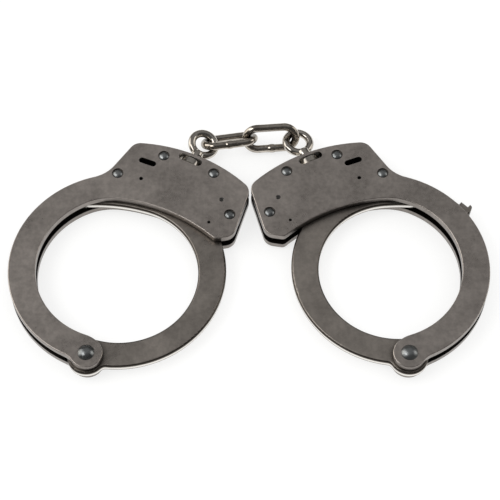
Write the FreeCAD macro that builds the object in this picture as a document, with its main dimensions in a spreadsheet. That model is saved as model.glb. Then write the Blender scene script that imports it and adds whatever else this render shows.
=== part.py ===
import FreeCAD, Part
import math
import os
import Sketcher
from FreeCAD import Placement, Rotation, Vector

# Chain-linked double-lock handcuffs: two mirrored cuffs and two chain links.
# Millimetres.  The cuffs lie flat, +Z up; the origin is the middle of the
# assembly's footprint, at the level of the lowest rivet heads.
# Every cuff piece is drawn in its cuff's own frame: pivot rivet at the
# origin, lock body towards +Y, Z = 0 half way between the two cheeks, and
# "front" meaning +Z.  The right cuff is drawn as the left one mirrored in X:
# side is +1 for the left cuff and -1 for the right one.

doc = FreeCAD.newDocument("Handcuffs")
sheet = doc.addObject("Spreadsheet::Sheet", "Dims")
VALUE = {}
HAND = {1: "left", -1: "right"}
Z_AXIS = Vector(0, 0, 1)
NODES = []


def size(alias, value, cell=None):
    """Put a dimension in the sheet; cell is its formula if it follows from others."""
    text = "%.7g" % value
    row = len(VALUE) + 1
    sheet.set("A%d" % row, alias)
    sheet.set("B%d" % row, cell or text)
    sheet.setAlias("B%d" % row, alias)
    VALUE[alias] = float(text)


# ---- driving dimensions ----------------------------------------------------
for alias, value in [
    # where the cuffs lie; the shift centres the whole assembly
    ("left_pivot_x", -58.48), ("left_pivot_y", -42.04), ("left_turn", 0.0),
    ("right_pivot_x", 56.92), ("right_pivot_y", -42.08), ("right_turn", -1.31),
    ("shift_x", 0.3718), ("shift_y", -4.2503),
    # cheek faces, measured from the middle plane
    ("inner_face", 1.8), ("outer_face", 4.4), ("cheek_edge", 0.4),
    # case rivets: centres and sizes
    ("rivet_a_x", 8.0), ("rivet_a_y", 75.85), ("rivet_b_x", 25.4), ("rivet_b_y", 83.85),
    ("rivet_c_x", 44.65), ("rivet_c_y", 75.85), ("rivet_d_x", 50.85), ("rivet_d_y", 57.5),
    ("rivet_shank", 1.4), ("rivet_head", 1.85), ("rivet_rim", 0.1),
    ("rivet_recess", 2.2), ("rivet_recess_deep", 0.45),
    ("rivet_proud", 0.42), ("rivet_dome", 2.5),
    # pivot rivet
    ("pivot_shank", 2.0), ("pivot_head", 2.95), ("pivot_rim", 0.4),
    ("pivot_recess", 3.05), ("pivot_recess_deep", 0.3),
    ("pivot_front_proud", 1.5), ("pivot_rear_proud", 0.9),
    ("pivot_front_dome", 3.81), ("pivot_rear_dome", 5.84),
    # radius of the small flat on the crown of every rivet head
    ("crown_flat", 0.05),
    # small pins
    ("pawl_x", 47.75), ("pawl_y", 64.05), ("pawl_pin", 0.95), ("pawl_bore", 1.0),
    ("pawl_pin_proud", 0.12), ("pawl_pin_chamfer", 0.2),
    ("stop_x", 17.0), ("stop_y", 73.45), ("stop_pin", 0.7), ("stop_hole", 0.75),
    ("stop_front", 3.6), ("stop_rear", 4.0), ("stop_chamfer", 0.1),
    ("witness_x", 43.05), ("witness_y", 54.1), ("witness_hole", 0.6),
    # double-lock slot, its bar and detent leaf
    ("slot_x", 19.2), ("slot_y", 80.95), ("slot_turn", -22.0),
    ("slot_half_long", 3.5), ("slot_half_wide", 1.2),
    ("bar_thick", 3.2), ("bar_dimple", 0.5), ("bar_dimple_deep", 0.8),
    # swivel, measured along its stem from the flange centre
    ("flange_x", 35.6), ("flange_y", 82.1), ("stem_turn", 64.0),
    ("window_half_long", 4.8), ("window_half_wide", 1.5), ("window_turn", -26.0),
    ("stem_groove", 2.27), ("stem_groove_long", 8.0),
    ("ring_reach", 10.9), ("ring_mean", 4.7), ("ring_wire", 1.5),
    ("ring_tilt_left", 69.96), ("ring_tilt_right", -97.8 * -1),
    # ratchet arm
    ("arm_thick", 3.2), ("arm_edge", 0.85), ("arm_boss", 6.5), ("arm_boss_thick", 3.4),
    ("arm_bore", 2.05), ("tooth_pitch", 2.9), ("tooth_spaces", 18),
    ("arm_closed_left", 0.0), ("arm_closed_right", 11.6),
    # lock parts
    ("pawl_thick", 3.2), ("pawl_lift", 3.8), ("spring_wide", 3.0),
    ("key_x", 29.5), ("key_y", 75.3), ("key_hole", 2.4),
    ("bit_x", 30.36), ("bit_y", 77.65), ("bit_turn", 70.0),
    ("bit_half_long", 2.5), ("bit_half_wide", 0.95),
    ("key_post", 1.0), ("key_post_top", 3.15), ("key_post_end", 3.9),
    ("key_post_chamfer", 0.2), ("key_spigot", 0.8), ("key_socket", 1.4),
    # chain links
    ("link_wire", 1.5), ("link_half", 9.75), ("link_across", 4.5),
    ("weld_half", 1.6), ("weld_base", 1.4), ("weld_dome", 4.0),
    # length of a cut that goes right through, centred on the middle plane
    ("through_cut", 40.0),
]:
    size(alias, value)

size("cheek_thick", VALUE["outer_face"] - VALUE["inner_face"], "=outer_face - inner_face")
size("gap", 2 * VALUE["inner_face"], "=2 * inner_face")
size("mid_height", VALUE["outer_face"] + VALUE["pivot_rear_proud"],
     "=outer_face + pivot_rear_proud")
size("bar_face", VALUE["bar_thick"] / 2, "=bar_thick / 2")

# Chain link poses: centre, z from the middle plane, and angles in degrees.
POSE_KEYS = ("x", "y", "z", "yaw", "pitch", "roll")
for link, pose in (("link_1", (-8.0901, 51.9431, -0.6699, 6.39, 3.33, -38.48)),
                   ("link_2", (8.1069, 52.4053, 0.7264, 0.83, 5.4, 61.91))):
    for key, value in zip(POSE_KEYS, pose):
        size("%s_%s" % (link, key), value)

# ---- outlines --------------------------------------------------------------
# Each row is a corner (x, y) and the signed radius of the edge that leaves it:
# 0 straight; going anticlockwise, positive bulges out and negative is hollow.
OUTLINE = {
    # eye, fixed bow and lock body of a cheek plate
    "cheek": [
        (4.3328, 4.0046, 12.0), (-0.5141, 7.1855, -30.0), (-3.1036, 62.7701, -22.0),
        (9.1547, 64.5541, -65.2), (44.5505, 47.6056, 2.0), (46.1944, 47.0852, 0),
        (49.3282, 47.5239, 4.5), (52.9995, 50.6382, 0), (57.8481, 66.154, 5.0),
        (56.621, 71.1712, 64.2), (16.6888, 89.8563, 4.6), (12.5549, 87.961, 0),
        (6.3446, 79.3328, -13.0), (-0.8753, 74.3612, 40.1), (-8.0948, -0.4824, -8.0),
        (-4.9174, -3.2602, 5.9), (3.6441, -4.6401, 5.9)],
    # block under the crown, round rivets a and b
    "upper": [
        (30.5383, 82.9, 0), (31.8535, 85.5964, 0), (34.1005, 84.5004, 0),
        (34.4952, 85.3095, 63.85), (16.6583, 89.5076, 4.25), (12.839, 87.7565, 0),
        (5.5423, 77.619, 3.028), (7.0707, 72.9681, 3.028), (11.028, 75.85, 0),
        (11.7957, 82.3777, 0), (12.882, 85.0665, 0), (16.1272, 83.7554, 0),
        (16.6142, 84.9607, 0), (23.8462, 82.0388, 0), (23.3592, 80.8335, 0),
        (25.6772, 79.8969, 0)],
    # block on the entry side, round rivets c and d, with the pawl spring's slit
    "side": [
        (38.8958, 83.3823, 0), (38.4147, 82.396, 0), (40.6617, 81.3, 0),
        (39.3465, 78.6036, 0), (40.2, 74.6, 0), (41.1601, 72.3049, 0),
        (45.1108, 72.9667, 0), (45.1851, 72.5229, 0), (41.7276, 71.9437, 0),
        (42.6, 69.7, 0), (47.2464, 66.9059, -2.9), (49.2, 61.5385, 0),
        (49.3, 60.1847, 3.1), (48.1653, 55.95, 3.1), (52.4, 54.8153, 0),
        (54.3044, 55.9922, 0), (57.514, 66.2583, 4.65), (56.3721, 70.9236, 63.85)],
    # ratchet arm without its toothed rim
    "arm": [
        (5.0034, -4.8955, -2.5), (7.0063, -4.1532, 39.3), (48.3824, 45.091, 8.0),
        (46.1439, 48.8526, 67.2), (-11.0428, 66.2865, 1.2), (-12.0256, 64.8841, 0),
        (-11.8251, 63.8023, 1.2), (-10.4483, 62.8373, -63.7), (19.9281, 60.5026, -28.219),
        (3.4127, 6.5482, 12.0), (-0.2012, 6.9971, 7.0), (-6.4128, -2.8064, 7.0)],
    # rim that carries the teeth
    "rim": [
        (48.03, 40.29, 16.2), (47.2523, 48.6527, 8.0), (44.9895, 51.9195, 68.7),
        (-11.5532, 67.7216, 1.2), (-12.5305, 66.3159, 0), (-12.1430, 64.2628, -65.4),
        (46.6472, 45.8394, 0)],
    # pawl, drawn engaged with the teeth
    "pawl": [
        (14.1511, 67.7376, 0), (16.3418, 67.0369, 0), (16.4927, 65.6603, 0),
        (19.7125, 66.1243, 0), (19.7936, 64.7418, 0), (23.0327, 65.0423, 0),
        (23.0437, 63.6575, 0), (26.2939, 63.7937, 0), (27.5621, 63.6922, -69.4),
        (35.2232, 59.7971, 0), (48.2015, 61.4895, 2.6), (50.3105, 64.5015, 2.6),
        (47.2985, 66.6105, 0), (29.3422, 66.8434, 0), (28.8783, 64.8617, 71.0),
        (18.8545, 68.4508, 0), (18.7824, 69.6106, 72.1), (15.2365, 70.4717, 0),
        (14.6624, 70.1848, 0)],
    # double-lock bar and its detent leaf, in the slot's frame
    "bar": [
        (-4.2, -1.3, 0), (4.2, -1.3, 0), (4.2, -8.3, 0), (6.0, -8.15, 0),
        (6.0, 1.0, 0.3), (5.7, 1.3, 0), (2.9, 1.3, 0), (2.5, 0.95, 0),
        (2.1, 1.3, 0), (0.4, 1.3, 0), (0.01, 0.95, 0), (-0.4, 1.3, 0),
        (-4.2, 1.3, 0.3), (-4.5, 1.0, 0), (-4.5, -1.0, 0.3)],
    "leaf": [
        (-3.6964, 2.3551, 0), (-3.012, 2.3746, 0), (-1.2474, 1.9825, 0),
        (-0.3445, 1.4307, 0), (0.01, 1.3733, 0), (0.3445, 1.4307, 0),
        (1.2474, 1.9825, 0), (3.012, 2.3746, 0), (3.6964, 2.3551, 0),
        (3.7036, 2.6049, 0), (2.988, 2.6254, 0), (1.1526, 2.2175, 0),
        (0.2555, 1.6693, 0), (0.01, 1.6267, 0), (-0.2555, 1.6693, 0),
        (-1.1526, 2.2175, 0), (-2.988, 2.6254, 0), (-3.7036, 2.6049, 0)],
    # pawl spring
    "spring": [
        (44.9711, 72.8926, 0), (40.955, 72.2199, 0), (36.4344, 70.5624, 0),
        (32.1589, 68.6732, 0), (31.249, 68.6277, 0), (30.3971, 69.1956, 0),
        (30.2029, 68.9044, 0), (31.151, 68.2723, 0), (32.2411, 68.3268, 0),
        (36.5656, 70.2376, 0), (41.045, 71.8801, 0), (45.0289, 72.5474, 0)],
    # half profile of the swivel's flange and stem: x along the stem, y its radius
    "stem": [
        (-1.3, 0.0, 0), (6.9, 0.0, 0), (6.9, 1.9, 0), (6.2, 2.45, 0),
        (4.9, 2.45, 0), (3.4, 2.2, 0), (1.5, 2.2, 0), (1.3, 2.45, 0),
        (1.3, 4.05, 0), (1.05, 4.3, 0), (-1.05, 4.3, 0), (-1.3, 4.05, 0)],
}


def at_polar(radius, degrees):
    angle = math.radians(degrees)
    return (radius * math.cos(angle), radius * math.sin(angle))


def beyond(start, end, stretch):
    """Straight-edged row on the line from start to end, stretched past the end."""
    return (start[0] + stretch * (end[0] - start[0]),
            start[1] + stretch * (end[1] - start[1]), 0)


# One space between two teeth, round the pivot: a steep flank and a long ramp
# meet at the root, and both run out past the rim.
ROOT_RADIUS, TIP_RADIUS = 67.4, 68.7
ROOT_ANGLE, STEEP_ANGLE, RAMP_ANGLE = 50.1, 50.5, 47.6
STEEP_STRETCH, RAMP_STRETCH = 1.4, 1.2
root = at_polar(ROOT_RADIUS, ROOT_ANGLE)
OUTLINE["space"] = [
    beyond(root, at_polar(TIP_RADIUS, STEEP_ANGLE), STEEP_STRETCH),
    beyond(root, at_polar(TIP_RADIUS, RAMP_ANGLE), RAMP_STRETCH),
    (root[0], root[1], 0)]

for key, rows in OUTLINE.items():
    for number, (x, y, radius) in enumerate(rows, 1):
        size("%s_x%d" % (key, number), x)
        size("%s_y%d" % (key, number), y)
        if radius:
            size("%s_r%d" % (key, number), abs(radius))
doc.recompute()


# ---- formulas --------------------------------------------------------------
def formula(text):
    """A signed sum of aliases as (value now, expression); None stands for zero."""
    if text is None:
        return (0.0, "0")
    total, sign, expression = 0.0, 1.0, ""
    for token in text.replace("-", " - ").replace("+", " + ").split():
        if token in ("+", "-"):
            sign = 1.0 if token == "+" else -1.0
            expression += token
        else:
            total += sign * VALUE[token]
            expression += "Dims." + token
    return (total, expression)


def mirrored(text, side):
    """The formula for an x coordinate, negated on the right-hand cuff."""
    value, expression = formula(text)
    return (value, expression) if side > 0 else (-value, "-(%s)" % expression)


# ---- sketches --------------------------------------------------------------
def origin_feature(body, role):
    return [f for f in body.Origin.OriginFeatures if f.Role == role][0]


def new_sketch(body, name, plane="XY_Plane", place=None, side=1, z=None, rotation=Rotation()):
    """Sketch on an origin plane, moved to a named place and height and then turned."""
    sketch = body.newObject("Sketcher::SketchObject", name)
    sketch.AttachmentSupport = (origin_feature(body, plane), [""])
    sketch.MapMode = "FlatFace"
    offsets = {"x": mirrored(place and place + "_x", side),
               "y": formula(place and place + "_y"),
               "z": formula(z)}
    base = Vector(*[offsets[axis][0] for axis in "xyz"])
    sketch.AttachmentOffset = Placement(base, rotation)
    for axis in ("xy" if place else "") + ("z" if z else ""):
        sketch.setExpression("AttachmentOffset.Base.%s" % axis, offsets[axis][1])
    return sketch


def dimension(sketch, name, amount, kind, *references):
    """Named constraint whose amount is a (value, expression) pair."""
    value, expression = amount
    index = sketch.addConstraint(Sketcher.Constraint(kind, *references, value))
    sketch.renameConstraint(index, name)
    sketch.setExpression("Constraints.%s" % name, expression)


def arc_between(start, end, radius, sense):
    """Circular edge from start to end; sense +1 runs anticlockwise, -1 clockwise."""
    dx, dy = end[0] - start[0], end[1] - start[1]
    chord = math.hypot(dx, dy)
    rise = math.sqrt(max(radius * radius - chord * chord / 4.0, 0.0))
    cx = (start[0] + end[0]) / 2.0 - sense * dy / chord * rise
    cy = (start[1] + end[1]) / 2.0 + sense * dx / chord * rise
    low, high = (start, end) if sense > 0 else (end, start)
    low_angle = math.atan2(low[1] - cy, low[0] - cx)
    high_angle = math.atan2(high[1] - cy, high[0] - cx)
    if high_angle < low_angle:
        high_angle += 2.0 * math.pi
    return Part.ArcOfCircle(Part.Circle(Vector(cx, cy, 0), Z_AXIS, radius),
                            low_angle, high_angle)


def line(start, end):
    return Part.LineSegment(Vector(start[0], start[1], 0), Vector(end[0], end[1], 0))


def draw(sketch, rows, side=1):
    """Closed outline from rows of formulas (x, y, radius of the edge leaving).

    A coordinate of None holds the corner on that axis.  A radius of None is a
    straight edge, and a leading minus makes the edge hollow.
    """
    count = len(rows)
    corners = [(mirrored(x, side)[0], formula(y)[0]) for x, y, radius in rows]
    geometry, ends = [], []
    for i, (x, y, radius) in enumerate(rows):
        start, end = corners[i], corners[(i + 1) % count]
        sense = 1
        if radius:
            sense = -side if radius.startswith("-") else side
            geometry.append(arc_between(start, end, VALUE[radius.lstrip("-")], sense))
        else:
            geometry.append(line(start, end))
        ends.append((1, 2) if sense > 0 else (2, 1))
    ids = sketch.addGeometry(geometry, False)
    for i in range(count):
        j = (i + 1) % count
        sketch.addConstraint(
            Sketcher.Constraint("Coincident", ids[i], ends[i][1], ids[j], ends[j][0]))
    for i, (x, y, radius) in enumerate(rows):
        corner = (ids[i], ends[i][0])
        if x is None:
            sketch.addConstraint(Sketcher.Constraint("PointOnObject", *corner, -2))
        else:
            dimension(sketch, "x%d" % (i + 1), mirrored(x, side), "DistanceX", -1, 1, *corner)
        if y is None:
            sketch.addConstraint(Sketcher.Constraint("PointOnObject", *corner, -1))
        else:
            dimension(sketch, "y%d" % (i + 1), formula(y), "DistanceY", -1, 1, *corner)
        if radius:
            dimension(sketch, "r%d" % (i + 1), formula(radius.lstrip("-")), "Radius", ids[i])
    return ids


def trace(sketch, key, side=1):
    """Draw one of the measured outlines."""
    rows = []
    for number, (x, y, radius) in enumerate(OUTLINE[key], 1):
        alias = "%s_r%d" % (key, number)
        bend = ("-" + alias if radius < 0 else alias) if radius else None
        rows.append(("%s_x%d" % (key, number), "%s_y%d" % (key, number), bend))
    draw(sketch, rows, side)


def circle(sketch, radius, place=None, side=1):
    """Circle at a named place, or at the sketch's origin."""
    x, y = mirrored(place and place + "_x", side), formula(place and place + "_y")
    g = sketch.addGeometry(
        Part.Circle(Vector(x[0], y[0], 0), Z_AXIS, VALUE[radius]), False)
    if place:
        dimension(sketch, "x%d" % g, x, "DistanceX", -1, 1, g, 3)
        dimension(sketch, "y%d" % g, y, "DistanceY", -1, 1, g, 3)
    else:
        sketch.addConstraint(Sketcher.Constraint("Coincident", -1, 1, g, 3))
    dimension(sketch, "r%d" % g, formula(radius), "Radius", g)


def wire_section(sketch, centre, radius):
    """Circle with its centre on the sketch's X axis."""
    x = formula(centre)
    g = sketch.addGeometry(Part.Circle(Vector(x[0], 0, 0), Z_AXIS, VALUE[radius]), False)
    sketch.addConstraint(Sketcher.Constraint("PointOnObject", g, 3, -1))
    dimension(sketch, "centre", x, "DistanceX", -1, 1, g, 3)
    dimension(sketch, "wire", formula(radius), "Radius", g)


def stadium(sketch, half_long, half_wide):
    """Slot along the sketch's X axis, centred on its origin."""
    radius = VALUE[half_wide]
    straight = half_long + "-" + half_wide
    reach = formula(straight)[0]
    quarter = math.pi / 2
    ids = sketch.addGeometry([
        line((-reach, -radius), (reach, -radius)),
        Part.ArcOfCircle(Part.Circle(Vector(reach, 0, 0), Z_AXIS, radius), -quarter, quarter),
        line((reach, radius), (-reach, radius)),
        Part.ArcOfCircle(Part.Circle(Vector(-reach, 0, 0), Z_AXIS, radius),
                         quarter, 3 * quarter)], False)
    for i in range(4):
        sketch.addConstraint(Sketcher.Constraint("Tangent", ids[i], 2, ids[(i + 1) % 4], 1))
    for i, name, end in ((1, "right", 1), (3, "left", -1)):
        sketch.addConstraint(Sketcher.Constraint("PointOnObject", ids[i], 3, -1))
        dimension(sketch, name, mirrored(straight, end), "DistanceX", -1, 1, ids[i], 3)
        dimension(sketch, name + "_r", formula(half_wide), "Radius", ids[i])


# ---- features --------------------------------------------------------------
def new_body(label, placement):
    body = doc.addObject("PartDesign::Body", label)
    body.Placement = placement
    return body


def solve(feature):
    doc.recompute()
    if "Invalid" in feature.State or "Error" in feature.State or feature.Shape.isNull():
        raise RuntimeError("%s failed" % feature.Label)


def solve_cut(body, feature, before):
    """Solve a cutting feature and insist that it took material away."""
    solve(feature)
    if not feature.Shape.Volume < before - 1e-3:
        raise RuntimeError("%s cut nothing from %s" % (feature.Label, body.Label))


def symmetric(feature):
    # Releases without SideType have Midplane instead.
    if hasattr(feature, "SideType"):
        feature.SideType = "Symmetric"
    else:
        feature.Midplane = True


def set_length(feature, alias):
    feature.Length = VALUE[alias]
    feature.setExpression("Length", "Dims.%s" % alias)


def pad(body, sketch, length, name, centred=True, reverse=False):
    feature = body.newObject("PartDesign::Pad", name)
    feature.Profile = sketch
    set_length(feature, length)
    if centred:
        symmetric(feature)
    feature.Reversed = reverse
    solve(feature)
    return feature


def pocket(body, sketch, name, depth=None, reverse=False):
    """Blind when a depth is given, otherwise right through both ways."""
    before = body.Shape.Volume
    feature = body.newObject("PartDesign::Pocket", name)
    feature.Profile = sketch
    feature.Type = "Length"
    set_length(feature, depth or "through_cut")
    if depth:
        feature.Reversed = reverse
    else:
        symmetric(feature)
    solve_cut(body, feature, before)
    return feature


def revolve(body, sketch, axis, name):
    feature = body.newObject("PartDesign::Revolution", name)
    feature.Profile = sketch
    feature.ReferenceAxis = (sketch, [axis])
    feature.Angle = 360.0
    solve(feature)


def round_edges(body, base, radius, heights, name):
    """Fillet the flat horizontal edges that lie at the given heights."""
    levels = [round(height, 4) for height in heights]
    names = []
    for number, edge in enumerate(base.Shape.Edges, 1):
        box = edge.BoundBox
        if box.ZLength < 1e-4 and round(box.ZMin, 4) in levels:
            names.append("Edge%d" % number)
    feature = body.newObject("PartDesign::Fillet", name)
    feature.Base = (base, names)
    feature.Radius = VALUE[radius]
    feature.setExpression("Radius", "Dims.%s" % radius)
    solve(feature)


def turned(label, placement, rows):
    """Solid of revolution about Z from a half profile of (radius, height, bulge)."""
    body = new_body(label, placement)
    profile = new_sketch(body, label + "_profile", plane="XZ_Plane")
    draw(profile, rows)
    revolve(body, profile, "V_Axis", "Turned")
    return body


# ---- frames ----------------------------------------------------------------
def cuff_frame(side):
    hand = HAND[side]
    return Placement(Vector(VALUE[hand + "_pivot_x"] + VALUE["shift_x"],
                            VALUE[hand + "_pivot_y"] + VALUE["shift_y"],
                            VALUE["mid_height"]),
                     Rotation(Z_AXIS, VALUE[hand + "_turn"]))


def frame_at(side, place, turn=0.0):
    """Frame at a named place on a cuff, turned about Z."""
    return cuff_frame(side) * Placement(
        Vector(side * VALUE[place + "_x"], VALUE[place + "_y"], 0), Rotation(Z_AXIS, turn))


def stem_direction(side):
    return VALUE["stem_turn"] if side > 0 else 180.0 - VALUE["stem_turn"]


# ---- cheeks and spacers ----------------------------------------------------
RIVETS = ("rivet_a", "rivet_b", "rivet_c", "rivet_d")


def drill(body, side, holes, label):
    """Through holes from pairs of (radius, place)."""
    sketch = new_sketch(body, label + "_holes")
    for radius, place in holes:
        circle(sketch, radius, place, side)
    pocket(body, sketch, label + "_drill")


def cut_slot(body, side, place, name):
    """Through slot whose place, turn and half sizes share a prefix in the sheet."""
    centre = "flange" if place == "window" else place
    sketch = new_sketch(body, name, place=centre, side=side,
                        rotation=Rotation(Z_AXIS, side * VALUE[place + "_turn"]))
    stadium(sketch, place + "_half_long", place + "_half_wide")
    pocket(body, sketch, name + "_cut")


def cut_trough(body, side, label):
    """Half-round trough for the swivel's stem, from the window to the rim."""
    trough = new_sketch(body, label + "_trough", place="flange", side=side,
                        rotation=Rotation(Z_AXIS, stem_direction(side)))
    draw(trough, [(None, None, None), ("stem_groove_long", None, None),
                  ("stem_groove_long", "stem_groove", None), (None, "stem_groove", None)])
    before = body.Shape.Volume
    groove = body.newObject("PartDesign::Groove", label + "_trough_cut")
    groove.Profile = trough
    groove.ReferenceAxis = (trough, ["H_Axis"])
    groove.Angle = 360.0
    solve_cut(body, groove, before)


def make_cheek(side, face, label):
    """Cheek plate; face +1 is the front plate, -1 the rear one."""
    rear = face < 0
    inner, outer = ("-inner_face", "-outer_face") if rear else ("inner_face", "outer_face")
    body = new_body(label, cuff_frame(side))
    plate = new_sketch(body, label + "_plate", z=inner)
    trace(plate, "cheek", side)
    blank = pad(body, plate, "cheek_thick", label + "_blank", centred=False, reverse=rear)
    round_edges(body, blank, "cheek_edge", [face * VALUE["outer_face"]], label + "_edge")

    holes = [("rivet_shank", rivet) for rivet in RIVETS]
    holes += [("pivot_shank", None), ("pawl_pin", "pawl"), ("stop_hole", "stop")]
    if not rear:
        holes.append(("witness_hole", "witness"))
    drill(body, side, holes, label)

    sinks = new_sketch(body, label + "_sinks", z=outer)
    for rivet in RIVETS:
        circle(sinks, "rivet_recess", rivet, side)
    pocket(body, sinks, label + "_recesses", "rivet_recess_deep", reverse=rear)
    eye = new_sketch(body, label + "_eye", z=outer)
    circle(eye, "pivot_recess")
    pocket(body, eye, label + "_eye_recess", "pivot_recess_deep", reverse=rear)

    cut_slot(body, side, "window", label + "_window")
    cut_trough(body, side, label)
    if rear:
        keyway = new_sketch(body, label + "_keyway")
        circle(keyway, "key_hole", "key", side)
        pocket(body, keyway, label + "_keyway_cut")
        cut_slot(body, side, "bit", label + "_bit")
    else:
        cut_slot(body, side, "slot", label + "_slot")
        socket = new_sketch(body, label + "_socket", z=inner)
        circle(socket, "key_spigot", "key", side)
        pocket(body, socket, label + "_socket_cut", "key_socket", reverse=True)
    NODES.append(body)


def make_spacer(side, key, rivets, label):
    body = new_body(label, cuff_frame(side))
    block = new_sketch(body, label + "_block")
    trace(block, key, side)
    pad(body, block, "gap", label + "_blank")
    drill(body, side, [("rivet_shank", rivet) for rivet in rivets], label)
    NODES.append(body)


# ---- ratchet arm -----------------------------------------------------------
def cut_teeth(body, side, label):
    """Cut one tooth space and repeat it round the pivot."""
    before = body.Shape.Volume
    space = new_sketch(body, label + "_space")
    trace(space, "space", side)
    first = pocket(body, space, label + "_space_cut")
    teeth = body.newObject("PartDesign::PolarPattern", label + "_teeth")
    teeth.Originals = [first]
    teeth.Axis = (origin_feature(body, "Z_Axis"), [""])
    teeth.Occurrences = int(VALUE["tooth_spaces"])
    teeth.Angle = VALUE["tooth_pitch"] * (VALUE["tooth_spaces"] - 1)
    teeth.setExpression("Angle", "Dims.tooth_pitch * (Dims.tooth_spaces - 1)")
    teeth.Reversed = side < 0
    body.Tip = teeth
    solve(teeth)
    # The end spaces may run off the rim, so fewer full spaces are asked for.
    least_full_spaces = 12
    one = before - first.Shape.Volume
    if not before - body.Shape.Volume > least_full_spaces * one:
        raise RuntimeError("the teeth were not all cut in " + label)


def make_arm(side, label):
    closed = side * VALUE["arm_closed_" + HAND[side]]
    body = new_body(label, cuff_frame(side) * Placement(Vector(), Rotation(Z_AXIS, closed)))
    strand = new_sketch(body, label + "_strand")
    trace(strand, "arm", side)
    blank = pad(body, strand, "arm_thick", label + "_blank")
    half = VALUE["arm_thick"] / 2
    round_edges(body, blank, "arm_edge", [half, -half], label + "_edge")
    boss = new_sketch(body, label + "_boss")
    circle(boss, "arm_boss")
    pad(body, boss, "arm_boss_thick", label + "_boss_pad")
    rim = new_sketch(body, label + "_rim")
    trace(rim, "rim", side)
    pad(body, rim, "arm_thick", label + "_rim_pad")
    bore = new_sketch(body, label + "_bore")
    circle(bore, "arm_bore")
    pocket(body, bore, label + "_bore_cut")
    cut_teeth(body, side, label)
    NODES.append(body)


# ---- rivets, pins and key post ---------------------------------------------
def rivet_rows(kind, front, rear):
    """Half profile of a rivet with a domed head sunk in each cheek.

    kind is the prefix of its sizes; front and rear are the prefixes of the
    height and dome radius of the two heads.
    """
    head, shank = kind + "_head", kind + "_shank"
    front_seat = "outer_face-%s_recess_deep" % kind
    rear_seat = "-outer_face+%s_recess_deep" % kind
    front_crown = "outer_face+%s_proud" % front
    rear_crown = "-outer_face-%s_proud" % rear
    return [
        (None, rear_crown, None),
        ("crown_flat", rear_crown, rear + "_dome"),
        (head, "%s-%s_rim" % (rear_seat, kind), None),
        (head, rear_seat, None),
        (shank, rear_seat, None),
        (shank, front_seat, None),
        (head, front_seat, None),
        (head, "%s+%s_rim" % (front_seat, kind), front + "_dome"),
        ("crown_flat", front_crown, None),
        (None, front_crown, None)]


def make_case_rivets(side, label):
    """The four case rivets as one piece."""
    rows = rivet_rows("rivet", "rivet", "rivet")
    pieces = [turned("%s_%s" % (label, rivet[-1]), frame_at(side, rivet), rows)
              for rivet in RIVETS]
    group = doc.addObject("Part::Compound", label)
    group.Links = pieces
    solve(group)
    NODES.append(group)


def make_pivot_rivet(side, label):
    rows = rivet_rows("pivot", "pivot_front", "pivot_rear")
    NODES.append(turned(label, cuff_frame(side), rows))


def make_pin(side, place, radius, low, high, chamfer, label):
    """Plain pin with both ends chamfered."""
    end_radius = "%s-%s" % (radius, chamfer)
    NODES.append(turned(label, frame_at(side, place), [
        (None, low, None),
        (end_radius, low, None),
        (radius, "%s+%s" % (low, chamfer), None),
        (radius, "%s-%s" % (high, chamfer), None),
        (end_radius, high, None),
        (None, high, None)]))


def make_key_post(side, label):
    """Post with a spigot in the front cheek and its free end in the keyhole."""
    NODES.append(turned(label, frame_at(side, "key"), [
        (None, "-key_post_end", None),
        ("key_post-key_post_chamfer", "-key_post_end", None),
        ("key_post", "-key_post_end+key_post_chamfer", None),
        ("key_post", "inner_face", None),
        ("key_spigot", "inner_face", None),
        ("key_spigot", "key_post_top", None),
        (None, "key_post_top", None)]))


# ---- flat lock parts -------------------------------------------------------
def make_flat(side, key, thick, label, frame):
    """Outline padded evenly about the middle plane."""
    body = new_body(label, frame)
    blank = new_sketch(body, label + "_blank")
    trace(blank, key, side)
    pad(body, blank, thick, label + "_pad")
    NODES.append(body)
    return body


def make_pawl(side, label):
    """Pawl, lifted off the teeth by a turn about its pin."""
    lifted = Placement(Vector(), Rotation(Z_AXIS, -side * VALUE["pawl_lift"]),
                       Vector(side * VALUE["pawl_x"], VALUE["pawl_y"], 0))
    body = make_flat(side, "pawl", "pawl_thick", label, cuff_frame(side) * lifted)
    bore = new_sketch(body, label + "_bore")
    circle(bore, "pawl_bore", "pawl", side)
    pocket(body, bore, label + "_bore_cut")


def make_double_lock(side, hand):
    """Sliding bar, with a dimple in its front face, and its detent leaf."""
    frame = frame_at(side, "slot", side * VALUE["slot_turn"])
    bar = make_flat(side, "bar", "bar_thick", hand + "_double_lock_bar", frame)
    dimple = new_sketch(bar, hand + "_dimple", z="bar_face")
    circle(dimple, "bar_dimple")
    pocket(bar, dimple, hand + "_dimple_cut", "bar_dimple_deep")
    make_flat(side, "leaf", "spring_wide", hand + "_double_lock_spring", frame)


# ---- swivel and chain ------------------------------------------------------
def make_swivel(side, label):
    """Flange, stem and eye in one forging; local X runs out along the stem."""
    body = new_body(label, frame_at(side, "flange", stem_direction(side)))
    stem = new_sketch(body, label + "_stem")
    trace(stem, "stem")
    revolve(body, stem, "H_Axis", label + "_stem_turned")

    tilt = -side * VALUE["ring_tilt_" + HAND[side]]
    wire = new_sketch(body, label + "_wire", rotation=Rotation(Vector(1, 0, 0), tilt))
    wire_section(wire, "ring_reach-ring_mean", "ring_wire")
    # construction line through the eye's centre, the axis of its ring
    reach, axis_length = VALUE["ring_reach"], 5.0
    axis = wire.addGeometry(line((reach, 0), (reach, axis_length)), True)
    wire.addConstraint(Sketcher.Constraint("PointOnObject", axis, 1, -1))
    wire.addConstraint(Sketcher.Constraint("Vertical", axis))
    dimension(wire, "reach", formula("ring_reach"), "DistanceX", -1, 1, axis, 1)
    wire.addConstraint(Sketcher.Constraint("DistanceY", axis, 1, axis, 2, axis_length))
    revolve(body, wire, "Axis0", label + "_eye")
    NODES.append(body)


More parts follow.
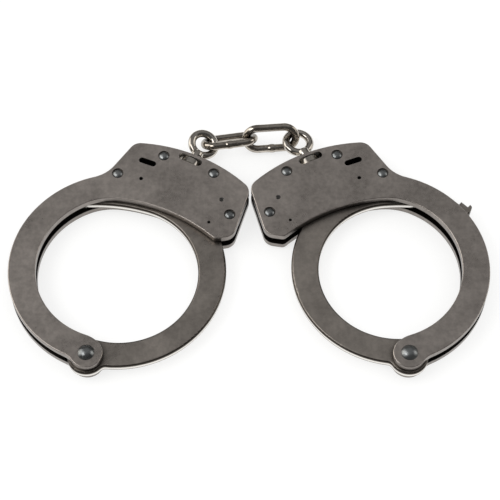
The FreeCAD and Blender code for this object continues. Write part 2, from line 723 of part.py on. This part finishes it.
def make_link(link, label):
    """Oval link with a weld bead swelling on its -Y side."""
    x, y, z, yaw, pitch, roll = [VALUE["%s_%s" % (link, key)] for key in POSE_KEYS]
    centre = Vector(x + VALUE["shift_x"], y + VALUE["shift_y"], z + VALUE["mid_height"])
    body = new_body(label, Placement(centre, Rotation(yaw, -pitch, roll)))
    path = new_sketch(body, label + "_path")
    stadium(path, "link_half", "link_across")
    wire = new_sketch(body, label + "_wire", plane="YZ_Plane")
    wire_section(wire, "link_across", "link_wire")
    doc.recompute()
    pipe = body.newObject("PartDesign::AdditivePipe", label + "_bar")
    pipe.Profile = wire
    pipe.Spine = (path, ["Edge%d" % (i + 1) for i in range(len(path.Shape.Edges))])
    solve(pipe)

    bead = new_sketch(body, label + "_bead")
    outside = "-link_across-weld_base"
    ids = draw(bead, [("-weld_half", "-link_across", None),
                      ("-weld_half", outside, "weld_dome"),
                      ("weld_half", outside, None),
                      ("weld_half", "-link_across", None)])
    # construction line along the wire's centre, the axis of the bead
    axis_half, across = 6.0, VALUE["link_across"]
    axis = bead.addGeometry(line((-axis_half, -across), (axis_half, -across)), True)
    bead.addConstraint(Sketcher.Constraint("Horizontal", axis))
    bead.addConstraint(Sketcher.Constraint("PointOnObject", axis, 1, ids[3]))
    bead.addConstraint(Sketcher.Constraint("DistanceX", -1, 1, axis, 1, -axis_half))
    bead.addConstraint(Sketcher.Constraint("DistanceX", -1, 1, axis, 2, axis_half))
    revolve(body, bead, "Axis0", label + "_weld")
    NODES.append(body)


# ---- assembly --------------------------------------------------------------
for side, hand in HAND.items():
    make_cheek(side, 1, hand + "_front_cheek")
    make_cheek(side, -1, hand + "_rear_cheek")
    make_spacer(side, "upper", RIVETS[:2], hand + "_upper_spacer")
    make_spacer(side, "side", RIVETS[2:], hand + "_side_spacer")
    make_arm(side, hand + "_ratchet_arm")
    make_pivot_rivet(side, hand + "_pivot_rivet")
    make_case_rivets(side, hand + "_case_rivets")
    make_swivel(side, hand + "_swivel")
    make_pawl(side, hand + "_pawl")
    make_pin(side, "pawl", "pawl_pin", "-outer_face-pawl_pin_proud",
             "outer_face+pawl_pin_proud", "pawl_pin_chamfer", hand + "_pawl_pin")
    make_pin(side, "stop", "stop_pin", "-stop_rear", "stop_front", "stop_chamfer",
             hand + "_pawl_stop_pin")
    make_flat(side, "spring", "spring_wide", hand + "_pawl_spring", cuff_frame(side))
    make_double_lock(side, hand)
    make_key_post(side, hand + "_key_post")
make_link("link_1", "chain_link_1")
make_link("link_2", "chain_link_2")

# ---- validation, then one STEP file for each piece -------------------------
doc.recompute()
for obj in doc.Objects:
    if "Invalid" in obj.State or "Error" in obj.State:
        raise RuntimeError("%s is in state %s" % (obj.Label, obj.State))
for obj in NODES:
    shape = obj.Shape
    if shape.isNull() or not shape.isValid():
        raise RuntimeError("%s has no valid solid" % obj.Label)
    expected = len(RIVETS) if obj.Label.endswith("case_rivets") else 1
    if len(shape.Solids) != expected:
        raise RuntimeError("%s has %d solids" % (obj.Label, len(shape.Solids)))
os.makedirs("parts", exist_ok=True)
for obj in NODES:
    obj.Shape.exportStep("parts/%s.step" % obj.Label)
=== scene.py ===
"""Looks and studio for a pair of chain handcuffs in worn, plated steel.

The cuffs lie flat: their plates are parallel to XY, +Z is up, and the swivel windows
are mirrored across x = 0. The camera looks down from the -Y side. Units are metres.
"""
import math

import bpy
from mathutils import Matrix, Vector

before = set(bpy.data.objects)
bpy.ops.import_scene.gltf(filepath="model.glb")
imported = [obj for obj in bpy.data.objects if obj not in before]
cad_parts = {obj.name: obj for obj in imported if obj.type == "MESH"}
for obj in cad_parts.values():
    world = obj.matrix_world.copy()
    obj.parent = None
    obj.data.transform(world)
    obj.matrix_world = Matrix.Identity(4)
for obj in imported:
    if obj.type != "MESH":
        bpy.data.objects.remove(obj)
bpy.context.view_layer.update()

MID_Z = 0.0053          # middle plane between the cheek plates
WINDOW_X = 0.0228       # swivel window centres, at plus and minus this x
WINDOW_Y = 0.0368
FLOOR_Z = -0.0003
FLOOR_HALF = 3.0

# painted shade between the cheek plates
GAP_SHADE = (0.02, 0.017, 0.014)
# painted shade for corners and narrow gaps
CORNER_SHADE = (0.022, 0.018, 0.014)
# painted dark reflection on the arm's bevels
DARK_BEVEL_REFLECTION = (0.05, 0.043, 0.036)
# painted highlight on the arm's side wall
WALL_HIGHLIGHT = (0.97, 0.95, 0.91)
# painted light inside the swivel windows
WINDOW_LIGHT = (0.95, 0.92, 0.87)


# ---- shader graph ------------------------------------------------------------
class Graph:
    """Builds a shader tree; inputs may be plain values or other nodes' sockets."""

    def __init__(self, tree):
        self.tree = tree
        self.tree.nodes.clear()

    def add(self, kind, **values):
        node = self.tree.nodes.new(kind)
        for key, value in values.items():
            setattr(node, key, value)
        return node

    def put(self, socket, value):
        if isinstance(value, bpy.types.NodeSocket):
            self.tree.links.new(value, socket)
        else:
            socket.default_value = value

    def calc(self, operation, a, b=0.0, c=None, clamp=False):
        node = self.add("ShaderNodeMath", operation=operation, use_clamp=clamp)
        self.put(node.inputs[0], a)
        self.put(node.inputs[1], b)
        if c is not None:
            self.put(node.inputs[2], c)
        return node.outputs[0]

    def plus(self, a, b, clamp=False):
        return self.calc("ADD", a, b, clamp=clamp)

    def minus(self, a, b):
        return self.calc("SUBTRACT", a, b)

    def times(self, a, b, clamp=False):
        return self.calc("MULTIPLY", a, b, clamp=clamp)

    def absolute(self, value):
        return self.calc("ABSOLUTE", value)

    def vector(self, operation, a, b=(0, 0, 0)):
        node = self.add("ShaderNodeVectorMath", operation=operation)
        self.put(node.inputs[0], a)
        self.put(node.inputs[1], b)
        return node.outputs["Value" if operation == "DOT_PRODUCT" else 0]

    def split(self, vector):
        """The x, y and z sockets of a vector."""
        node = self.add("ShaderNodeSeparateXYZ")
        self.put(node.inputs[0], vector)
        return node.outputs

    def place(self):
        return self.add("ShaderNodeTexCoord").outputs["Object"]

    def steepness(self):
        """Size of the true normal's z: 1 on flat faces, 0 on side walls."""
        normal = self.add("ShaderNodeNewGeometry").outputs["True Normal"]
        return self.absolute(self.split(normal)[2])

    def noise(self, where, scale, detail, rough):
        node = self.add("ShaderNodeTexNoise")
        self.put(node.inputs["Vector"], where)
        node.inputs["Scale"].default_value = scale
        node.inputs["Detail"].default_value = detail
        node.inputs["Roughness"].default_value = rough
        return node.outputs["Fac"]

    def streaks(self, where, stretch, turn, detail):
        """Noise scaled per axis by stretch and turned about Z, in degrees."""
        node = self.add("ShaderNodeMapping")
        self.put(node.inputs["Vector"], where)
        node.inputs["Scale"].default_value = stretch
        node.inputs["Rotation"].default_value = (0, 0, math.radians(turn))
        return self.noise(node.outputs[0], scale=1.0, detail=detail, rough=0.7)

    def ramp(self, value, low, high, start=0.0, end=1.0):
        """Smooth step from start at low to end at high."""
        node = self.add("ShaderNodeMapRange", clamp=True, interpolation_type="SMOOTHSTEP")
        self.put(node.inputs["Value"], value)
        node.inputs["From Min"].default_value = low
        node.inputs["From Max"].default_value = high
        node.inputs["To Min"].default_value = start
        node.inputs["To Max"].default_value = end
        return node.outputs["Result"]

    def mix(self, factor, a, b):
        node = self.add("ShaderNodeMix", data_type="RGBA", blend_type="MIX")
        self.put(node.inputs[0], factor)
        for socket, colour in ((node.inputs[6], a), (node.inputs[7], b)):
            self.put(socket, (*colour, 1.0) if isinstance(colour, tuple) else colour)
        return node.outputs[2]

    def output(self, kind, shader):
        self.put(self.add(kind).inputs["Surface"], shader.outputs[0])


def new_material(name):
    material = bpy.data.materials.new(name)
    material.use_nodes = True
    return material, Graph(material.node_tree)


def scaled(colour, factor):
    return tuple(min(1.0, channel * factor) for channel in colour)


# ---- layers of the metal -------------------------------------------------------
def add_pits(g, where, colour, height, dark, pits):
    """Small dark holes and a slow waviness."""
    depth, waviness, darkness = 2.2 * pits, 3.0 * pits, 0.6 * pits
    spots = g.noise(where, scale=620.0, detail=2.0, rough=0.5)
    hole = g.ramp(spots, low=0.3, high=0.44, start=1.0, end=0.0)
    wave = g.noise(where, scale=260.0, detail=2.0, rough=0.5)
    height = g.plus(g.minus(height, g.times(hole, depth)), g.times(wave, waviness))
    return g.mix(g.times(hole, darkness, clamp=True), colour, scaled(dark, 0.25)), height


def add_wear_and_sheen(g, where, colour, roughness, wear_and_sheen, wear_and_sheen_colour, wear_rough, edge):
    """Broken bright edges where a rounded normal leaves the true one: real rubbing, and a
    painted highlight along the rims.
    """
    bevel = g.add("ShaderNodeBevel", samples=4)
    bevel.inputs["Radius"].default_value = edge
    normal = g.add("ShaderNodeNewGeometry").outputs["Normal"]
    off = g.minus(1.0, g.vector("DOT_PRODUCT", bevel.outputs["Normal"], normal))
    rub_and_sheen = g.ramp(off, low=0.015, high=0.12)
    broken = g.ramp(g.noise(where, scale=420.0, detail=3.0, rough=0.65), low=0.36, high=0.6)
    rub_and_sheen = g.times(g.times(rub_and_sheen, broken), wear_and_sheen, clamp=True)
    colour = g.mix(rub_and_sheen, colour, wear_and_sheen_colour)
    kept = g.times(roughness, g.minus(1.0, rub_and_sheen))
    return colour, g.plus(kept, g.times(rub_and_sheen, wear_rough))


def off_middle(g, where):
    return g.absolute(g.minus(g.split(where)[2], MID_Z))


def add_gap_shade(g, where, colour, inside):
    """Painted shade: near-black colour between the plates, within a height of the middle
    plane.
    """
    deep = g.ramp(off_middle(g, where), low=inside, high=inside + 0.0002, start=0.93, end=0.0)
    return g.mix(deep, colour, GAP_SHADE)


def add_bevel_reflections(g, where, colour, roughness, bevel_reflection_dark, wall_highlight):
    """Painted dark reflection on the bevels above and below the side wall, and a painted
    highlight on the side wall.
    """
    away = off_middle(g, where)
    band = g.times(g.ramp(away, low=0.00062, high=0.00085),
                   g.ramp(away, low=0.00145, high=0.00158, start=1.0, end=0.0))
    colour = g.mix(g.times(band, bevel_reflection_dark), colour, DARK_BEVEL_REFLECTION)
    wall_highlight_mask = g.ramp(away, low=0.0005, high=0.00062, start=wall_highlight, end=0.0)
    wall_smoothing = 0.5
    smoother = g.minus(1.0, g.times(wall_highlight_mask, wall_smoothing))
    return g.mix(wall_highlight_mask, colour, WALL_HIGHLIGHT), g.times(roughness, smoother)


def add_side_shade(g, colour, dark, side_shade):
    """Painted shade: side walls are darker than the flat faces."""
    steep = g.ramp(g.steepness(), low=0.25, high=0.8, start=side_shade, end=0.0)
    return g.mix(steep, colour, scaled(dark, 0.3))


def add_corner_shade(g, colour, corner_shade, reach):
    """Painted shade: darkens the corners and the narrow gaps, where other surfaces close in.
    """
    corner = g.add("ShaderNodeAmbientOcclusion", samples=6)
    corner.inputs["Distance"].default_value = reach
    shade_amount = g.ramp(corner.outputs["AO"], low=0.4, high=0.92, start=corner_shade, end=0.0)
    return g.mix(shade_amount, colour, CORNER_SHADE)


def add_window_light(g, where, colour, window_light):
    """Painted light: the steel inside the swivel windows is made lighter."""
    x, y, z = g.split(where)
    dx = g.minus(g.absolute(x), WINDOW_X)
    dy = g.minus(y, WINDOW_Y)
    distance = g.calc("SQRT", g.plus(g.times(dx, dx), g.times(dy, dy)))
    # only side walls, and anything below the outer faces
    sunk = g.calc("MAXIMUM", g.ramp(g.steepness(), low=0.3, high=0.5, start=1.0, end=0.0),
                  g.ramp(z, low=0.0078, high=0.0082, start=1.0, end=0.0))
    near = g.ramp(distance, low=0.0044, high=0.0052, start=window_light, end=0.0)
    return g.mix(g.times(near, sunk), colour, WINDOW_LIGHT)


def metal(name, base, dark, rough, grain, grain_scale=2600.0, blotch=70.0, scratches=0.1,
          brushed=None, pits=0.0, wear_and_sheen=0.0, wear_and_sheen_colour=(0.8, 0.78, 0.74), wear_rough=0.22,
          edge=0.0005, inside=None, bevel_reflection_dark=None, wall_highlight=0.0, side_shade=0.0,
          corner_shade=0.0, corner_shade_reach=0.0035, window_light=0.0):
    """Worn steel: clouds between dark and base, fine grain and scratches, then extra layers.

    grain is the bump strength, blotch the cloud scale, edge the width of the rubbed edges with
    their painted highlight.
    """
    material, g = new_material(name)
    where = g.place()
    cloud = g.noise(where, scale=blotch, detail=4.0, rough=0.6)
    fine = g.noise(where, scale=grain_scale, detail=2.0, rough=0.6)
    mid = g.noise(where, scale=grain_scale * 0.22, detail=3.0, rough=0.6)

    # slow clouds, with a fine speckle on top
    speckle = 0.45
    tone = g.calc("MULTIPLY_ADD", g.ramp(cloud, low=0.3, high=0.7), 1.0 - speckle,
                  g.times(g.ramp(mid, low=0.3, high=0.7), speckle))
    colour = g.mix(tone, dark, base)

    # hair scratches in two directions
    along_y = g.streaks(where, stretch=(900.0, 22.0, 900.0), turn=28.0, detail=2.0)
    along_y = g.ramp(along_y, low=0.66, high=0.72)
    along_x = g.streaks(where, stretch=(26.0, 1100.0, 900.0), turn=-17.0, detail=2.0)
    along_x = g.ramp(along_x, low=0.67, high=0.73)
    scratch = g.times(g.calc("MAXIMUM", along_y, along_x), scratches, clamp=True)
    colour = g.mix(scratch, colour, scaled(base, 1.35))

    roughness = g.plus(
        g.ramp(cloud, low=0.3, high=0.72, start=rough * 0.85, end=rough * 1.2),
        g.ramp(fine, low=0.3, high=0.7, start=-0.03, end=0.05), clamp=True)

    # shares of each layer in the bump height
    fine_share, mid_share, scratch_share, brush_share = 0.5, 0.6, 0.35, 0.9
    height = g.plus(g.times(fine, fine_share), g.times(mid, mid_share))
    height = g.minus(height, g.times(scratch, scratch_share))
    if brushed is not None:
        height = g.plus(height, g.times(g.streaks(where, **brushed), brush_share))
    if pits > 0.0:
        colour, height = add_pits(g, where, colour, height, dark, pits)
    bump = g.add("ShaderNodeBump")
    bump.inputs["Strength"].default_value = grain
    bump.inputs["Distance"].default_value = 0.00004
    g.put(bump.inputs["Height"], height)

    if wear_and_sheen > 0.0:
        colour, roughness = add_wear_and_sheen(g, where, colour, roughness, wear_and_sheen, wear_and_sheen_colour,
                                     wear_rough, edge)
    if inside is not None:
        colour = add_gap_shade(g, where, colour, inside)
    if bevel_reflection_dark is not None:
        colour, roughness = add_bevel_reflections(g, where, colour, roughness, bevel_reflection_dark, wall_highlight)
    if side_shade > 0.0:
        colour = add_side_shade(g, colour, dark, side_shade)
    if corner_shade > 0.0:
        colour = add_corner_shade(g, colour, corner_shade, corner_shade_reach)
    if window_light > 0.0:
        colour = add_window_light(g, where, colour, window_light)

    shader = g.add("ShaderNodeBsdfPrincipled")
    g.put(shader.inputs["Base Color"], colour)
    g.put(shader.inputs["Roughness"], roughness)
    shader.inputs["Metallic"].default_value = 1.0
    g.put(shader.inputs["Normal"], bump.outputs["Normal"])
    g.output("ShaderNodeOutputMaterial", shader)
    return material


# ---- finishes ------------------------------------------------------------------
CHEEK = metal(
    "satin_nickel_cheek", base=(0.63, 0.575, 0.532), dark=(0.38, 0.344, 0.316), rough=0.33,
    grain=0.9, grain_scale=2300.0, wear_and_sheen=1.0, wear_and_sheen_colour=(0.86, 0.83, 0.78), wear_rough=0.14,
    edge=0.00024, inside=0.00185, side_shade=0.6, corner_shade=0.75, window_light=0.95)
ARM = metal(
    "satin_nickel_arm", base=(0.525, 0.478, 0.433), dark=(0.325, 0.294, 0.265), rough=0.33,
    grain=0.9, grain_scale=2300.0,
    brushed={"stretch": (1500.0, 90.0, 900.0), "turn": 12.0, "detail": 3.0},
    wear_and_sheen=0.6, wear_and_sheen_colour=(0.8, 0.77, 0.72), wear_rough=0.16, edge=0.0003,
    bevel_reflection_dark=0.92, wall_highlight=0.7, corner_shade=0.85, corner_shade_reach=0.0045)
RIVET = metal(
    "bright_rivet", base=(0.37, 0.385, 0.39), dark=(0.2, 0.213, 0.22), rough=0.3,
    grain=0.8, grain_scale=1300.0, wear_and_sheen=0.5, wear_and_sheen_colour=(0.55, 0.56, 0.56), edge=0.0003,
    corner_shade=0.45, corner_shade_reach=0.0012)
# The pin's bright rim is a painted glint as well as wear.
PIN = metal(
    "bright_pin", base=(0.13, 0.125, 0.12), dark=(0.05, 0.048, 0.045), rough=0.22,
    grain=0.7, wear_and_sheen=1.0, edge=0.0004)
CHAIN = metal(
    "polished_chain", base=(0.66, 0.61, 0.545), dark=(0.36, 0.325, 0.28), rough=0.11,
    grain=0.7, grain_scale=1500.0, blotch=160.0, pits=0.6, corner_shade=0.75, corner_shade_reach=0.003)
SWIVEL = metal(
    "polished_swivel", base=(0.72, 0.68, 0.62), dark=(0.42, 0.39, 0.35), rough=0.13,
    grain=0.5, grain_scale=1700.0, blotch=120.0, pits=0.35, wear_and_sheen=0.4, edge=0.0004,
    corner_shade=0.3, corner_shade_reach=0.0015)
# Painted shade: the lock parts inside the case are near black.
LOCK = metal(
    "lock_steel_painted_shade", base=(0.012, 0.011, 0.01), dark=(0.004, 0.004, 0.004), rough=0.5,
    grain=0.6, scratches=0.2)
# Painted shade: the spacers between the plates are darker than the cheeks.
SPACER = metal(
    "spacer_painted_shade", base=(0.16, 0.145, 0.13), dark=(0.08, 0.073, 0.065), rough=0.36,
    grain=0.6, scratches=0.2, wear_and_sheen=0.5, window_light=0.95)
SPRING = metal(
    "blued_spring", base=(0.03, 0.04, 0.06), dark=(0.015, 0.02, 0.03), rough=0.3, grain=0.4)

# keyed by the node's name after its first underscore
FINISH = {
    "front_cheek": CHEEK, "rear_cheek": CHEEK, "upper_spacer": SPACER, "side_spacer": SPACER,
    "ratchet_arm": ARM, "pivot_rivet": RIVET, "case_rivets": RIVET, "swivel": SWIVEL,
    "pawl": LOCK, "pawl_pin": PIN, "pawl_stop_pin": LOCK, "pawl_spring": SPRING,
    "double_lock_bar": LOCK, "double_lock_spring": SPRING, "key_post": PIN,
}


def apply_finishes():
    for name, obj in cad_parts.items():
        is_chain = name.startswith("chain_link")
        obj.data.materials.clear()
        obj.data.materials.append(CHAIN if is_chain else FINISH[name.split("_", 1)[1]])


# ---- stage, light and camera -----------------------------------------------------
def floor_material():
    """Matt, faintly mottled and partly self-lit, so the floor stays pale and even."""
    material, g = new_material("pale_floor")
    shader = g.add("ShaderNodeBsdfPrincipled")
    mottle = g.noise(g.place(), scale=9.0, detail=3.0, rough=0.6)
    g.put(shader.inputs["Base Color"], g.mix(mottle, (0.31, 0.31, 0.309), (0.34, 0.34, 0.338)))
    shader.inputs["Roughness"].default_value = 0.9
    shader.inputs["Specular IOR Level"].default_value = 0.05
    shader.inputs["Emission Color"].default_value = (1.0, 1.0, 0.995, 1.0)
    shader.inputs["Emission Strength"].default_value = 0.71
    g.output("ShaderNodeOutputMaterial", shader)
    return material


def link_object(name, data):
    obj = bpy.data.objects.new(name, data)
    bpy.context.scene.collection.objects.link(obj)
    return obj


def aim(obj, target):
    obj.rotation_euler = (target - obj.location).to_track_quat("-Z", "Y").to_euler()


def floor():
    mesh = bpy.data.meshes.new("studio_floor")
    corners = [(x * FLOOR_HALF, y * FLOOR_HALF, FLOOR_Z)
               for x, y in ((-1, -1), (1, -1), (1, 1), (-1, 1))]
    mesh.from_pydata(corners, [], [(0, 1, 2, 3)])
    obj = link_object("studio_floor", mesh)
    mesh.materials.append(floor_material())


# Soft boxes mirrored by the metal:
# direction, full-brightness angle and outer angle in degrees, brightness
SOFT_BOXES = (
    ((0.0, 0.42, 0.9), 22, 52, 0.19),      # wide grey panel, above and behind
    ((-0.88, 0.3, 0.42), 12, 30, 1.85),    # left
    ((0.9, 0.25, 0.4), 8, 22, 1.3),        # right
    ((-0.5, -0.15, 0.85), 3, 11, 1.0),     # overhead, to the left
)


def studio():
    """Even white light on the floor, and a soft grey studio for the metal to mirror."""
    world = bpy.data.worlds.new("studio")
    bpy.context.scene.world = world
    world.use_nodes = True
    g = Graph(world.node_tree)
    direction = g.vector("NORMALIZE", g.add("ShaderNodeTexCoord").outputs["Generated"])

    total = 0.066  # brightness away from the boxes
    for axis, inner, outer, power in SOFT_BOXES:
        dot = g.vector("DOT_PRODUCT", direction, tuple(Vector(axis).normalized()))
        lobe = g.ramp(dot, low=math.cos(math.radians(outer)),
                      high=math.cos(math.radians(inner)), end=power)
        total = g.plus(total, lobe)

    # warmer low down, neutral overhead
    height = g.vector("DOT_PRODUCT", direction, (0.0, 0.0, 1.0))
    shade = g.mix(g.ramp(height, low=-0.1, high=0.9), (1.06, 1.0, 0.9), (1.0, 0.99, 0.985))
    mirrored = g.add("ShaderNodeVectorMath", operation="SCALE")
    g.put(mirrored.inputs[0], shade)
    g.put(mirrored.inputs["Scale"], total)
    is_glossy = g.add("ShaderNodeLightPath").outputs["Is Glossy Ray"]
    background = g.add("ShaderNodeBackground")
    colour = g.mix(is_glossy, (1.0, 1.0, 1.0), mirrored.outputs[0])
    g.put(background.inputs["Color"], colour)
    background.inputs["Strength"].default_value = 1.0
    g.output("ShaderNodeOutputWorld", background)


def key_light():
    light = bpy.data.lights.new("key", "AREA")
    light.shape = "RECTANGLE"
    light.size, light.size_y = 0.5, 0.35
    light.energy = 1.6
    light.color = (1.0, 0.985, 0.96)
    obj = link_object("key", light)
    obj.location = (-0.55, -0.15, 0.75)
    aim(obj, Vector((0, 0, 0)))


def add_camera():
    data = bpy.data.cameras.new("camera")
    data.lens = 108.0
    data.sensor_width = 36.0
    data.clip_start = 0.01
    camera = link_object("camera", data)
    tilt = math.radians(60.2)  # above the horizon
    distance = 0.5556
    target = Vector((0.0003718, -0.0042503, 0.0097))
    camera.location = target + distance * Vector((0.0, -math.cos(tilt), math.sin(tilt)))
    aim(camera, target)
    bpy.context.scene.camera = camera


apply_finishes()
floor()
studio()
key_light()
add_camera()
view = bpy.context.scene.view_settings
view.view_transform = "Standard"
view.look = "None"
